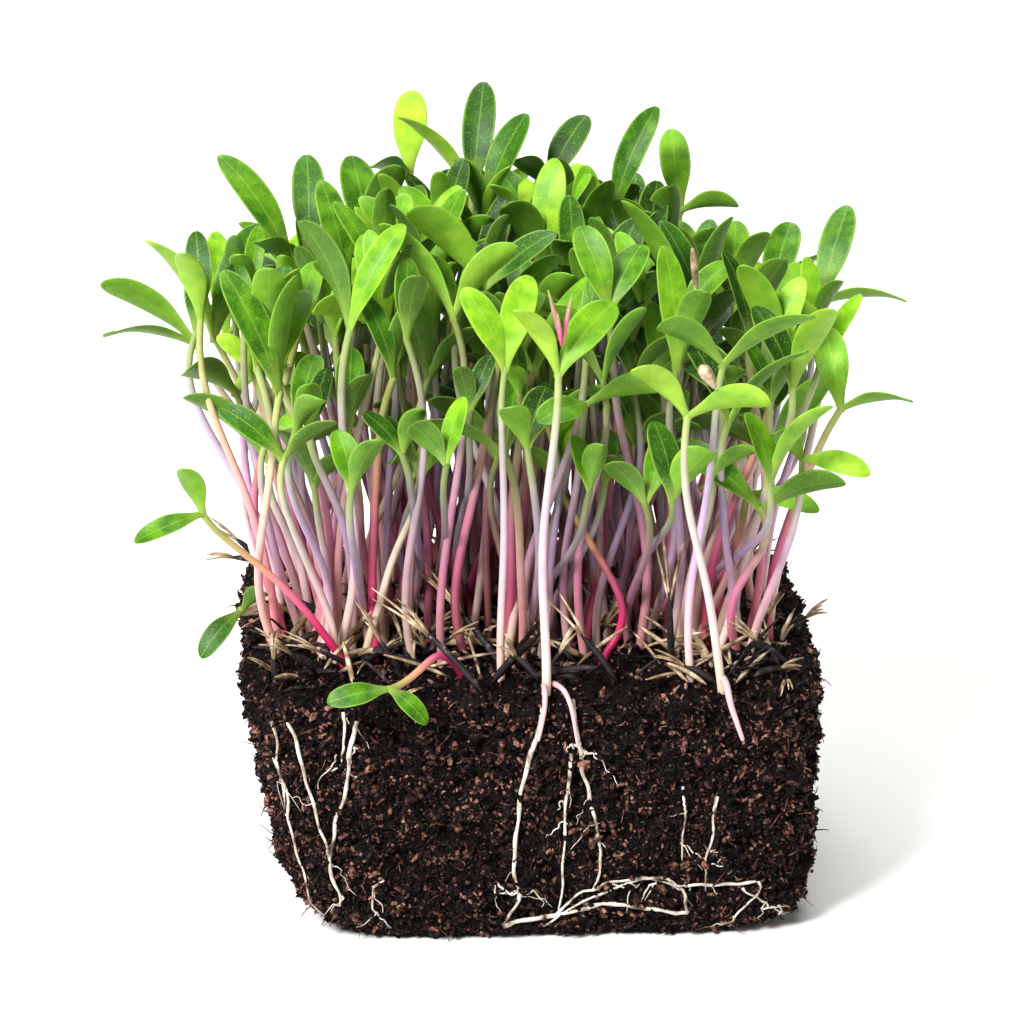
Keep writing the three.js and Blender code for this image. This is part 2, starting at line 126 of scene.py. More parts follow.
def add(material, kind, links=None, stops=None, **settings):
    tree = material.node_tree
    node = tree.nodes.new("ShaderNode" + kind)
    for name, value in settings.items():
        setattr(node, name, value)
    for place, (at, colour) in enumerate(stops or []):
        element = node.color_ramp.elements[place] if place < 2 else node.color_ramp.elements.new(at)
        element.position = at
        element.color = srgb(colour)
    for name, value in (links or {}).items():
        if isinstance(value, bpy.types.NodeSocket):
            tree.links.new(value, node.inputs[name])
        else:
            node.inputs[name].default_value = value
    return node.outputs[0] if node.outputs else None


def new_material(name):
    material = bpy.data.materials.new(name)
    material.use_nodes = True
    material.node_tree.nodes.clear()
    return material


print("sRGB mid grey is", round(srgb("#808080")[0], 3), "in linear light")

# %% [markdown]
# ## Floor and light
# A plain pale floor stands for the white ground of the picture. Three large soft lamps and a weak
# surround give the even light of a studio, and one more lamp keeps the floor behind the plant white. A
# sun lamp would be simpler, but it would draw hard stem shadows that the picture does not have.

# %% Floor and lamps
floor_paint = new_material("pale_studio_floor")
floor_skin = add(floor_paint, "BsdfPrincipled", {"Base Color": srgb("#f3f3f1"), "Roughness": 0.9})
add(floor_paint, "OutputMaterial", {"Surface": floor_skin})
FLOOR_HALF = 0.7
bm = bmesh.new()
bmesh.ops.create_grid(bm, x_segments=1, y_segments=1, size=FLOOR_HALF)
floor_mesh = bpy.data.meshes.new("floor")
bm.to_mesh(floor_mesh)
bm.free()
floor_mesh.materials.append(floor_paint)
floor = bpy.data.objects.new("floor", floor_mesh)
bpy.context.scene.collection.objects.link(floor)
floor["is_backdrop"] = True

# name, place, what the lamp is turned to, width and power
LAMPS = (
    ("key_lamp", (-0.6, -0.75, 0.8), target, 0.4, 28),
    ("fill_lamp", (0.8, -0.6, 0.5), target, 0.8, 2),
    ("top_lamp", (0.1, 0.2, 1.1), target, 0.7, 9),
    ("back_lamp", (0, 1.7, 1.3), Vector((0, 1.6, 0)), 1.2, 30),
)
for name, place, aim, size, watts in LAMPS:
    lamp = bpy.data.objects.new(name, bpy.data.lights.new(name, "AREA"))
    lamp.data.size = size
    lamp.data.energy = watts
    lamp.location = place
    lamp.rotation_euler = (Vector(place) - aim).to_track_quat("Z", "Y").to_euler()
    bpy.context.scene.collection.objects.link(lamp)
surround = bpy.data.worlds.new("pale_surround")
surround.use_nodes = True
surround.node_tree.nodes.clear()
# white paper to look at, but a weak lamp, so that the plants keep their deep shade
seen = add(surround, "LightPath")
strength = add(surround, "MapRange", {"Value": seen, "To Min": 0.06, "To Max": 1.0})
paper = add(surround, "Background", {"Color": srgb("#ffffff"), "Strength": strength})
add(surround, "OutputWorld", {"Surface": paper})
bpy.context.scene.world = surround
bpy.context.scene.view_settings.view_transform = "Standard"
print(len(LAMPS), "lamps and a pale surround")

# %% [markdown]
# ## Leaf tissue
# A seed leaf is soft and faintly waxy. The eye sees a mottled yellow-green with a thin pale midrib and
# edge, and a greyer underside. The mesh carries how far along and across a point lies, which side it is
# on, and a tone for every leaf: its own lightness, less painted shade for leaves low inside the stand. So
# one material dresses all of them and no two look the same. An image of a leaf would be quicker, but it
# would repeat.

# %% Leaf tissue
leaf_tissue = new_material("seed_leaf_tissue")
along, across, under, tone = (
    add(leaf_tissue, "Attribute", attribute_name=name).node.outputs["Fac"]
    for name in ("along", "across", "under", "tone"))
place = add(leaf_tissue, "TexCoord").node.outputs["Object"]
mottle = add(leaf_tissue, "TexNoise", {"Vector": place, "Scale": 1 / (3 * MM), "Detail": 5.0})
# a leaf's tone is its own lightness, less painted shade for leaves low inside the stand
shifted = add(leaf_tissue, "Math", {0: mottle, 1: 0.7, 2: tone}, operation="MULTIPLY_ADD")
toned = add(leaf_tissue, "Math", {0: shifted, 1: 0.35}, operation="SUBTRACT")
green = add(leaf_tissue, "ValToRGB", {"Fac": toned}, stops=[
    (0.0, "#153504"), (1.0, "#b2d636"), (0.3, "#2e5f06"), (0.65, "#6aa012")])
sideways = add(leaf_tissue, "Math", {0: across}, operation="ABSOLUTE")
rib = add(leaf_tissue, "MapRange", {"Value": sideways, "From Min": 0.02, "From Max": 0.09,
                                              "To Min": 0.22, "To Max": 0.0})
ribbed = add(leaf_tissue, "MixRGB", {"Fac": rib, "Color1": green, "Color2": srgb("#9cc04a")})
rim = add(leaf_tissue, "MapRange", {"Value": sideways, "From Min": 0.86, "From Max": 1.0,
                                              "To Min": 0.0, "To Max": 0.34})
rimmed = add(leaf_tissue, "MixRGB", {"Fac": rim, "Color1": ribbed, "Color2": srgb("#a3c84a")})
stalk = add(leaf_tissue, "MapRange", {"Value": along, "From Min": 0.02, "From Max": 0.35,
                                                "To Min": 0.7, "To Max": 0.0})
stalked = add(leaf_tissue, "MixRGB", {"Fac": stalk, "Color1": rimmed, "Color2": srgb("#8fa845")})
greyer = add(leaf_tissue, "Math", {0: under, 1: 0.4}, operation="MULTIPLY")
lower = add(leaf_tissue, "MixRGB", {"Fac": greyer, "Color1": stalked, "Color2": srgb("#6c9038")})
# real pores are too fine to see, so the speckle is drawn at 0.35 mm
specks = add(leaf_tissue, "TexNoise", {"Vector": place, "Scale": 1 / (0.35 * MM), "Detail": 3.0})
dust = add(leaf_tissue, "MapRange", {"Value": specks, "From Min": 0.55, "From Max": 0.75,
                                               "To Min": 0.0, "To Max": 0.26})
dusted = add(leaf_tissue, "MixRGB", {"Fac": dust, "Color1": lower, "Color2": srgb("#a8cc50")})
grain = add(leaf_tissue, "Bump", {"Height": specks, "Distance": 0.12 * MM, "Strength": 0.5})
leaf_skin = add(leaf_tissue, "BsdfPrincipled", {
    "Base Color": dusted, "Roughness": 0.45, "Specular IOR Level": 0.22, "Normal": grain,
    "Subsurface Weight": 0.12, "Subsurface Radius": (0.6, 1.0, 0.2), "Subsurface Scale": 0.9 * MM})
add(leaf_tissue, "OutputMaterial", {"Surface": leaf_skin})
print("leaf nodes:", len(leaf_tissue.node_tree.nodes))

# %% [markdown]
# ## Stem tissue
# A seedling's stem is watery and smooth, and light enters it a little. Its colour runs from pink or cream
# at the foot over lilac to green under the leaves. Three ramps along the stem are mixed by the plant's
# own shares of blush and cream. Painting a stem by hand would give the same, but not for hundreds of
# them.

# %% Stem tissue
stem_tissue = new_material("seedling_stem_tissue")
along, blush, cream, tone = (
    add(stem_tissue, "Attribute", attribute_name=name).node.outputs["Fac"]
    for name in ("along", "blush", "cream", "tone"))
place = add(stem_tissue, "TexCoord").node.outputs["Object"]
lilac = add(stem_tissue, "ValToRGB", {"Fac": along}, stops=[
    (0.0, "#dcc3ae"), (1.0, "#7d9c3a"), (0.14, "#dfb9b6"), (0.3, "#c89fb8"), (0.56, "#ab95b4"),
    (0.74, "#a4989f"), (0.88, "#8f9c62")])
pink = add(stem_tissue, "ValToRGB", {"Fac": along}, stops=[
    (0.0, "#cf2660"), (1.0, "#8d9c48"), (0.25, "#cf3068"), (0.45, "#cf6480"), (0.62, "#c98a70"),
    (0.82, "#9d9656")])
pale = add(stem_tissue, "ValToRGB", {"Fac": along}, stops=[
    (0.0, "#e2c4a6"), (1.0, "#97ad50"), (0.35, "#dcc4ae"), (0.7, "#c7c19f")])
blushed = add(stem_tissue, "MixRGB", {"Fac": blush, "Color1": lilac, "Color2": pink})
creamed = add(stem_tissue, "MixRGB", {"Fac": cream, "Color1": blushed, "Color2": pale})
streaks = add(stem_tissue, "TexNoise", {"Vector": place, "Scale": 1 / (2.5 * MM), "Detail": 3.0})
streaked = add(stem_tissue, "MapRange", {"Value": streaks, "To Min": 0.72, "To Max": 1.16})
# painted shade: the tone darkens the stems inside the stand, and it multiplies the streaks
lit = add(stem_tissue, "Math", {0: streaked, 1: tone}, operation="MULTIPLY")
stem_colour = add(stem_tissue, "MixRGB", {"Fac": 1.0, "Color1": creamed, "Color2": lit},
                  blend_type="MULTIPLY")
stem_skin = add(stem_tissue, "BsdfPrincipled", {
    "Base Color": stem_colour, "Roughness": 0.38, "IOR": 1.4,
    "Subsurface Weight": 0.15, "Subsurface Radius": (1.0, 0.6, 0.7), "Subsurface Scale": 1.0 * MM})
add(stem_tissue, "OutputMaterial", {"Surface": stem_skin})
print("stem nodes:", len(stem_tissue.node_tree.nodes))

# %% [markdown]
# ## Root, husk and straw
# Roots are white, matt and a little stained by the soil. A seed husk is a dull black ribbed shell with a
# tuft of straw. None of them is thicker than a few pixels, so one noise of a few millimetres and a colour
# ramp are enough for each. Finer grain would not be seen.

# %% Root tissue
root_tissue = new_material("white_root_tissue")
place = add(root_tissue, "TexCoord").node.outputs["Object"]
stain = add(root_tissue, "TexNoise", {"Vector": place, "Scale": 1 / (3 * MM), "Detail": 5.0})
root_colour = add(root_tissue, "ValToRGB", {"Fac": stain}, stops=[
    (0.34, "#4a3a30"), (0.62, "#ddd6cc"), (0.45, "#b5a898")])
root_skin = add(root_tissue, "BsdfPrincipled", {
    "Base Color": root_colour, "Roughness": 0.6,
    "Subsurface Weight": 0.2, "Subsurface Radius": (1.0, 0.8, 0.6), "Subsurface Scale": 0.6 * MM})
add(root_tissue, "OutputMaterial", {"Surface": root_skin})
print("root nodes:", len(root_tissue.node_tree.nodes))

# %% Seed husk and its straw
husk_shell = new_material("black_seed_husk")
place = add(husk_shell, "TexCoord").node.outputs["Object"]
wear = add(husk_shell, "TexNoise", {"Vector": place, "Scale": 1 / (1.2 * MM), "Detail": 4.0})
husk_colour = add(husk_shell, "ValToRGB", {"Fac": wear}, stops=[
    (0.35, "#151112"), (0.8, "#8a7a72"), (0.62, "#2b2326")])
shell_skin = add(husk_shell, "BsdfPrincipled", {
    "Base Color": husk_colour, "Roughness": 0.6, "Specular IOR Level": 0.2})
add(husk_shell, "OutputMaterial", {"Surface": shell_skin})
husk_straw = new_material("straw_seed_tuft")
place = add(husk_straw, "TexCoord").node.outputs["Object"]
fade = add(husk_straw, "TexNoise", {"Vector": place, "Scale": 1 / (2 * MM), "Detail": 4.0})
straw_colour = add(husk_straw, "ValToRGB", {"Fac": fade}, stops=[
    (0.3, "#4a3a2a"), (0.7, "#dccab0"), (0.5, "#9a7f5e")])
straw_skin = add(husk_straw, "BsdfPrincipled", {"Base Color": straw_colour, "Roughness": 0.65})
add(husk_straw, "OutputMaterial", {"Surface": straw_skin})
print("husk and straw nodes:", len(husk_shell.node_tree.nodes) + len(husk_straw.node_tree.nodes))

# %% [markdown]
# ## Potting soil
# Moist peat and coir is almost black, with red-brown crumbs and small moist glints. The same material
# dresses the block and its crumbs: a crumb carries a lighter tone, the block none. A material for each
# would need its own colours, and they would drift apart.

# %% Potting soil
potting_soil = new_material("moist_potting_soil")
tone = add(potting_soil, "Attribute", attribute_name="tone").node.outputs["Fac"]
place = add(potting_soil, "TexCoord").node.outputs["Object"]
clods = add(potting_soil, "TexNoise", {"Vector": place, "Scale": 1 / (0.8 * MM), "Detail": 6.0,
                                                 "Roughness": 0.7})
grains = add(potting_soil, "MapRange", {"Value": clods, "From Min": 0.35, "From Max": 0.68,
                                                  "To Min": 0.0, "To Max": 0.6})
shade = add(potting_soil, "Math", {0: grains, 1: tone}, operation="ADD")
soil_colour = add(potting_soil, "ValToRGB", {"Fac": shade}, stops=[
    (0.1, "#030202"), (1.0, "#9a7060"), (0.38, "#0d0707"), (0.6, "#2b1a18"), (0.85, "#6d483d")])
fine = add(potting_soil, "TexNoise", {"Vector": place, "Scale": 1 / (0.5 * MM), "Detail": 4.0})
soil_bump = add(potting_soil, "Bump", {"Height": fine, "Distance": 0.4 * MM, "Strength": 0.8})
moist = add(potting_soil, "MapRange", {"Value": fine, "From Min": 0.35, "From Max": 0.7,
                                                 "To Min": 0.4, "To Max": 0.95})
soil_skin = add(potting_soil, "BsdfPrincipled", {
    "Base Color": soil_colour, "Roughness": moist, "Specular IOR Level": 0.1, "Normal": soil_bump})
add(potting_soil, "OutputMaterial", {"Surface": soil_skin})
print("materials:", len(bpy.data.materials))

# %% [markdown]
# ## Where every seedling stands
# The solids were laid out by a table of seedlings read from the picture and by a rule for the ones
# between them, with a random series that always starts alike. The same table and rule are repeated here
# in numpy, so every fine plant lands on its solid. Places could be read back from the solids, but a
# forked stem is hard to measure.

# %% The table of placed seedlings
# in millimetres: foot on the soil, node where the leaves part, bow of the stem near foot and node,
# and for both leaves the tip, counted from the node, and the width
SOIL_HEIGHT = 42.0
PLACED = [
    ((-36, 12), (-50, 6, 89), (2, 0, 8, 2), ((-10, -4, 17, 6.6), (7, 7, 17, 7))),
    ((-36, 22), (-53, 17, 85), (3, 0, 6, 2), ((-15, -3, 11, 5.9), (-15, -8, 3, 5.5))),
    ((-32, 27), (-48, 26, 84), (0, 0, 12, 0), ((15, -3, 8, 5.9), (-2, 6, 16, 5.9))),
    ((-29, -25), (-52, -29, 69), (-6, 0, 8, 0), ((-4, -3, 8, 5.5), (-10, -4, -4, 4.8))),
    ((-33, -16), (-34, -20, 71), (1, 0, 2, 0), ((-6, -4, 10, 5.5), (5, -5, 6, 5.1))),
    ((-27, 10), (-37, 6, 101), (0, 0, 5, 2), ((-11, 5, 17, 6.6), (-5, -8, 6, 5.9))),
    ((-26, 18), (-34, 20, 99), (0, 0, 3, 0), ((1, 8, 15, 6.8), (-9, -7, 2, 5.9))),
    ((-20, 24), (-24, 24, 100), (-2, 0, 2, 0), ((-2, 8, 13, 7.9), (5, -4, 14, 6.6))),
    ((-23, 3), (-28, -5, 100), (-1, 0, 3, 3), ((-5, 4, 16, 6.2), (-6, -9, 10, 6.2))),
    ((-31, -17), (-23, -20, 98), (0, 0, -7, 0), ((-2, 5, 14, 6.2), (-10, -9, 5, 5.7))),
    ((-25, -7), (-16, -15, 88), (-4, 0, -3, 2), ((-5, -7, 15, 6.2), (9, -6, 9, 7))),
    ((-16, 35), (-17, 37, 109), (2, 0, 0, 0), ((0, 7, 12, 7), (-7, -8, 3, 6.2))),
    ((-7, 32), (-6, 34, 106), (-2, 0, 0, 0), ((-12, -3, 14, 5.9), (3, 8, 17, 6.8))),
    ((2, 30), (-4, 27, 106), (2, 0, 1, 0), ((7, 4, 14, 7), (-7, -6, 7, 6.6))),
    ((9, 32), (7, 35, 107), (0, 0, 1, 0), ((6, 6, 11, 6.4), (-6, -7, 6, 6.2))),
    ((15, 22), (17, 22, 104), (-2, 0, 0, 0), ((8, 2, 18, 5.5), (-6, -6, 8, 5.9))),
    ((28, 27), (29, 29, 104), (0, 0, 0, 0), ((-2, 7, 12, 6.4), (9, -5, 2, 5.5))),
    ((-6, -13), (-7, -19, 103), (1, 0, 1, 2), ((-11, -6, 14, 7.3), (11, 4, 8, 5.9))),
    ((-4, -31), (-4, -36, 94), (-1, 0, 0, 2), ((-6, 4, 12, 6.2), (4, 7, 13, 6.2))),
    ((2, -40), (4, -43, 95), (0, 0, -2, 1), ((-6, -7, 12, 5.3), (8, 6, 10, 6.8))),
    ((-1, -24), (-4, -33, 79), (2, 0, 3, 3), ((-14, -4, 7, 5.9), (3, 4, 11, 5.5))),
    ((-26, -20), (-17, -26, 76), (2, 0, 1, 1), ((6, -7, 7, 5.5), (-5, -6, 1, 5.1))),
    ((7, -20), (9, -32, 87), (-1, 0, -2, 3), ((13, -4, 4, 5.9), (-8, -8, 0, 6.2))),
    ((12, -24), (7, -30, 73), (9, 0, 5, 1), ((2, 4, 11, 5.5), (-4, -7, 6, 4.8))),
    ((19, -20), (13, -27, 101), (3, 0, 1, 3), ((5, 7, 9, 6.8), (-5, 5, 12, 6.2))),
    ((24, -15), (25, -21, 97), (-1, 0, 1, 2), ((-9, -4, 19, 6.2), (8, 4, 8, 5.5))),
    ((41, 8), (50, 4, 94), (3, 0, -1, 1), ((6, 7, 14, 6.6), (13, -6, 2, 6.2))),
    ((41, -14), (51, -22, 83), (-2, 0, -7, 2), ((10, -6, 3, 5.7), (-3, 7, 11, 6.2))),
    ((37, -22), (44, -30, 77), (3, 0, 0, 2), ((10, -5, -1, 5.1), (-5, -7, 6, 5.9))),
    ((26, -36), (30, -42, 96), (-1, 0, -2, 2), ((13, -7, 9, 6.4), (-10, -6, 8, 5.3))),
    ((31, -40), (24, -47, 89), (-3, -6, -1, 0), ((-8, -5, 9, 5.9), (12, -7, 4, 5.9))),
    ((40, 18), (43, 10, 92), (0, 0, 0, 2), ((3, 8, 12, 6.8), (10, -5, 9, 6.2))),
    ((33, 17), (38, 16, 93), (-1, 0, -2, 0), ((-1, 9, 10, 6.4), (3, -7, 14, 5.5))),
    ((34, -8), (37, -17, 68), (-3, 0, -1, 3), ((-8, -7, 4, 5.1), (11, -4, 0, 4.8))),
    ((-10, -33), (-23, -47, 45), (-5, -2, 4, 1), ((-9, -3, -2, 4.8), (6, -4, -4, 4.4))),
    ((-41, -10), (-46, -14, 48), (-1, -1, 1, 0), ((-7, -4, -6, 4.8), (4, -4, 4, 4))),
]
print(len(PLACED), "seedlings read from the picture")

# %% [markdown]
# ## Chance that repeats
# No two seedlings grow alike, yet the scene has to come out the same each time and on the solids. So a
# small generator of whole numbers is used that the solids use too. The random module has its own, which
# they can't follow.


# %% A random series that starts alike every time
def seeded(seed):
    state = seed
    while True:
        state = (state + 0x6D2B79F5) & 0xFFFFFFFF
        mix = ((state ^ (state >> 15)) * (state | 1)) & 0xFFFFFFFF
        mix ^= (mix + (mix ^ (mix >> 7)) * (mix | 61)) & 0xFFFFFFFF
        yield ((mix ^ (mix >> 14)) & 0xFFFFFFFF) / 4294967296


def between(series, low, high):
    return low + (high - low) * next(series)


print("a series starts", [round(number, 3) for number, _ in zip(seeded(20), range(3))])

# %% [markdown]
# ## The curve of a stem and the surface of a leaf
# A stem bows softly between its foot and the fork, and a leaf arches from the fork to its tip. Both are
# formulas here, a Bezier curve and a bent strap, so that any number of points can be asked for. Curve
# objects would have to be turned into meshes before they could be measured.


# %% The curve of a stem and the surface of a leaf
STEM_PULL = 0.36
STEM_LEAST_RISE = 11
LEAF_ARCH = 0.12


def stem_line(sprout, steps):
    (fx, fy), (nx, ny, nz), (ax, ay, bx, by), _ = sprout
    rise = (nz - SOIL_HEIGHT) * STEM_PULL
    corners = np.array([(fx, fy, SOIL_HEIGHT), (fx + ax, fy + ay, SOIL_HEIGHT + max(rise, STEM_LEAST_RISE)),
                        (nx + bx, ny + by, nz - rise), (nx, ny, nz)])
    t = np.asarray(steps)[:, None]
    weights = np.hstack([(1 - t) ** 3, 3 * t * (1 - t) ** 2, 3 * t ** 2 * (1 - t), t ** 3])
    return weights @ corners


def leaf_half_width(width, t):
    ease = np.clip((t - 0.05) / 0.5, 0, 1)
    swell = 0.24 + 0.76 * ease ** 2 * (3 - 2 * ease)
    end = np.sqrt(np.clip(1 - np.clip((t - 0.7) / 0.3, 0, None) ** 2, 0, None))
    return width / 2 * swell * end


def leaf_axes(leaf):
    tip = np.array(leaf[:3], float)
    length = np.linalg.norm(tip)
    axis = tip / length
    up = np.array([0, 0, 1]) - axis * axis[2]
    up /= np.linalg.norm(up)
    front = np.array([0, -1, 0]) + axis * axis[1]
    front /= np.linalg.norm(front)
    face = up + front * (-1 if up @ front < 0 else 1)
    face /= np.linalg.norm(face)
    return tip, length, face, np.cross(axis, face)


def leaf_surface(sprout, leaf, t, side):
    tip, length, face, across = leaf_axes(leaf)
    bend = 4 * LEAF_ARCH * length * t * (1 - t)
    return (np.array(sprout[1]) + t[:, None] * tip + bend[:, None] * face
            + (side * leaf_half_width(leaf[3], t))[:, None] * across)


print("the first stem passes", stem_line(PLACED[0], [0.5]).round(1)[0], "half-way")

# %% [markdown]
# ## Keeping seedlings clear of each other
# Crowded plants bend around each other. A new one is bent or grown by chance until its sample points are
# clear of all points so far, which a KD tree finds quickly. Testing mesh against mesh would be exact, but
# far slower.

# %% Keeping seedlings clear of each other
CLEARANCE = 2.0
STEM_STEPS = np.arange(1, 33) / 32
LEAF_GRID = np.meshgrid(np.arange(2, 11) / 10, (-1, -0.5, 0, 0.5, 1), indexing="ij")
LEAF_T, LEAF_SIDE = (values.ravel() for values in LEAF_GRID)


class Stand:
    """All points of the seedlings so far, with a quick search for the nearest one."""

    def __init__(self):
        self.points = np.empty((0, 3))
        self.search = None

    def take(self, *groups):
        self.points = np.vstack([self.points, *groups])
        self.search = KDTree(len(self.points))
        for i, point in enumerate(self.points):
            self.search.insert(point, i)
        self.search.balance()

    def gap(self, groups, above=0.0, least=0.0):
        """Smallest distance from groups of points to the stand, or the first one found below the least."""
        smallest = 1000.0
        for points in groups:
            for point in points[points[:, 2] > above]:
                near = self.search.find(point)[2] if self.search else 1000.0
                if abs(near - least) < 0.001:
                    near = math.sqrt(((self.points - point) ** 2).sum(axis=1).min())
                smallest = min(smallest, near)
                if smallest <= least:
                    return smallest
        return smallest


def samples(sprout):
    yield stem_line(sprout, STEM_STEPS)
    for leaf in sprout[3]:
        yield leaf_surface(sprout, leaf, LEAF_T, LEAF_SIDE)


def outside_soil(sprout):
    points = np.vstack(list(samples(sprout)))[3:]
    clear = (points[:, 2] > SOIL_HEIGHT + 1) | (abs(points[:, 1]) > 45) | (abs(points[:, 0]) > 49)
    return bool(np.all(clear))


def bent(sprout, series, step):
    def sway(most):
        return most * step * (2 * next(series) - 1)
    foot, (nx, ny, nz), bow, leaves = sprout
    bow = tuple(value + sway(5) for value in bow)
    node = (nx + sway(4), ny + sway(14), nz + sway(5))
    leaves = tuple((x + sway(4), y + sway(10), z + sway(4), width) for x, y, z, width in leaves)
    return foot, node, bow, leaves


def grown(series, foot, size):
    low = next(series) < 0.25
    height = between(series, *((30, 44) if low else (48, 60))) + 0.1 * foot[1] - 0.18 * max(0, foot[0])
    turn = between(series, 0, math.pi)
    leaves = []
    for half in (0, math.pi):
        angle = turn + half + between(series, -0.4, 0.4)
        pitch = between(series, *((0.3, 1) if low else (0.75, 1.4)))
        length = size * between(series, 14, 19)
        leaves.append((length * math.cos(pitch) * math.cos(angle), length * math.cos(pitch) * math.sin(angle),
                       length * math.sin(pitch), size * between(series, 5.6, 7.4)))
    bow = tuple(between(series, -most, most) for most in (5, 5, 4, 4))
    node = (foot[0] * 1.12 + between(series, -8, 8), foot[1] * 1.12 + between(series, -8, 8),
            SOIL_HEIGHT + height)
    return foot, node, bow, tuple(leaves)


print("a seedling is tested at", sum(map(len, samples(PLACED[0]))), "points")

# %% [markdown]
# ## Growing the stand
# Seen from the front the stand has a crown, highest left of the middle and lower to the right. First the
# placed seedlings are bent clear, then clumps grow between them under that crown, and at last husks stick
# in the soil. A scatter modifier would be shorter, but it would not keep the plants apart.

# %% The crown that the stand grows up to
# places across and the height there
CROWN = ((-62, -50, -28, -18, 24, 32, 48, 62), (98, 111, 114, 124, 122, 112, 104, 90))


def under_crown(sprout):
    points = np.vstack(list(samples(sprout)))
    seen = points[:, 2] + 0.3 * points[:, 1]
    return bool(np.all(seen < np.interp(points[:, 0], *CROWN)) and abs(points[:, 0]).max() < 60)


print("the crown is", max(CROWN[1]), "mm high")

# %% Grow the stand
TRIES = 300
CLUMP_GAP = 10.5
CLUMP_TO_SPROUT = 6.4
series = seeded(20)
stand = Stand()
sprouts = []
for sprout in PLACED:
    for i in range(TRIES):
        candidate = bent(sprout, series, i / TRIES)
        if outside_soil(candidate) and stand.gap(samples(candidate), least=CLEARANCE) > CLEARANCE:
            break
    stand.take(*samples(candidate))
    sprouts.append(candidate)

centres = []
while len(centres) < 20:
    spot = (between(series, -37, 37), between(series, -22, 36))
    if (all(math.dist(spot, other) > CLUMP_GAP for other in centres)
            and all(math.dist(spot, sprout[0]) > CLUMP_TO_SPROUT for sprout in sprouts)):
        centres.append(spot)

clumps = []
for cx, cy in centres:
    members = []
    turn = between(series, 0, math.pi)
    for k in range(4):
        angle = turn + 2 * math.pi * k / 4
        foot = (cx + 2.1 * math.cos(angle), cy + 2.1 * math.sin(angle))
        for i in range(TRIES):
            candidate = grown(series, foot, 1 - 0.5 * i / TRIES)
            if (under_crown(candidate)
                    and stand.gap(samples(candidate), above=SOIL_HEIGHT + 4, least=CLEARANCE) > CLEARANCE):
                stand.take(*samples(candidate))
                members.append(candidate)
                break
    clumps.append(members)
print(len(sprouts), "placed seedlings and", sum(map(len, clumps)), "grown in", len(clumps), "clumps")


# %% Seed husks that stand in the soil
def direction(turn, lean):
    return np.array([math.cos(lean) * math.cos(turn), math.cos(lean) * math.sin(turn), math.sin(lean)])


CLUMP_HOLE = 5.6
STEM_HOLE = 3.4
husks = []
while len(husks) < 16:
    foot = np.array([between(series, -41, 41), between(series, -40, 40), SOIL_HEIGHT - 2.5])
    turn, lean = between(series, 0, 2 * math.pi), between(series, 0.35, 1.1)
    tip = foot + between(series, 9, 15) * direction(turn, lean)
    shaft = foot + (np.arange(1, 10) / 9)[:, None] * (tip - foot)
    sunk = [point[:2] for point in [foot, *shaft] if point[2] < SOIL_HEIGHT + 2]
    if (abs(tip[0]) < 44 and abs(tip[1]) < 42
            and all(math.dist(spot, point) > CLUMP_HOLE for spot in centres for point in sunk)
            and all(math.dist(sprout[0], point) > STEM_HOLE for sprout in sprouts for point in sunk)
            and stand.gap([shaft], least=CLEARANCE) > CLEARANCE):
        stand.take(shaft)
        husks.append((foot, tip))
print(len(husks), "husks stand where the soil solid has them")

# %% [markdown]
# ## Seedlings that fill the stand
# The solids leave more room between the plants than the picture does. Added seedlings fill it: a jittered
# grid of feet over the whole block, and a low fringe in front. Of thirty tries each foot keeps the one
# with the widest gap to its neighbours. A physics run could push plants apart as well, but it would take
# minutes.

# %% Seedlings that fill the stand
FILL_TRIES = 30
WIDE_ENOUGH = 1.3
TOO_TIGHT = 0.45
FOOT_GAP = 1.9
filling = seeded(58)
fillers = []


def crowded(foot):
    return min(math.dist(foot, other[0]) for other in [*sprouts, *sum(clumps, []), *fillers]) < FOOT_GAP


def fill(foot, shaped):
    """Keep the try that stands widest from its neighbours, if any is wide enough."""
    best, widest = None, 0.0
    for i in range(FILL_TRIES):
        candidate = shaped(*grown(filling, foot, 1 - 0.4 * i / FILL_TRIES))
        if candidate is None:
            continue
        gap = stand.gap(samples(candidate), above=SOIL_HEIGHT + 3, least=widest)
        if gap > widest:
            best, widest = candidate, gap
        if widest > WIDE_ENOUGH:
            break
    if widest > TOO_TIGHT:
        stand.take(*samples(best))
        fillers.append(best)


def bowed(foot, node, bow, leaves):
    """A seedling with a deeper bow, or none where it would reach out of the stand."""
    leaves = tuple((1.12 * x, 1.12 * y, 1.12 * z, width) for x, y, z, width in leaves)
    sprout = foot, node, tuple(1.7 * value for value in bow), leaves
    inside = under_crown(sprout) and (abs(node[0]) <= 44 or node[2] >= 88)
    return sprout if inside else None


for column in range(16):
    for row in range(12):
        foot = (-40 + 5.4 * column + between(filling, -2, 2), -20 + 5.5 * row + between(filling, -2.4, 2.4))
        # a rounded square that stays clear of the rim
        if (foot[0] / 43) ** 6 + (foot[1] / 41) ** 6 <= 0.85 and not crowded(foot):
            fill(foot, bowed)
print(len(fillers), "seedlings on the grid")


# %% The low fringe in front
def lowered(x, y, z):
    """A way to set the node of a seedling near a place in the fringe, with flatter leaves."""
    def shaped(foot, node, bow, leaves):
        leaves = tuple((1.15 * a, 1.15 * b, 0.75 * c, width) for a, b, c, width in leaves)
        return foot, (x, y + between(filling, -4, 4), z), bow, leaves
    return shaped


for column in range(13):
    for row in range(3):
        x, y = -40 + 6.4 * column + between(filling, -2, 2), -36 + 8 * row
        z = 76 + 6 * row + between(filling, -5, 9)
        foot = (max(-40, min(41, 0.85 * x)) + between(filling, -3, 3), between(filling, -26, -4))
        if not crowded(foot):
            fill(foot, lowered(x, y, z))
print(len(fillers), "more seedlings between them")

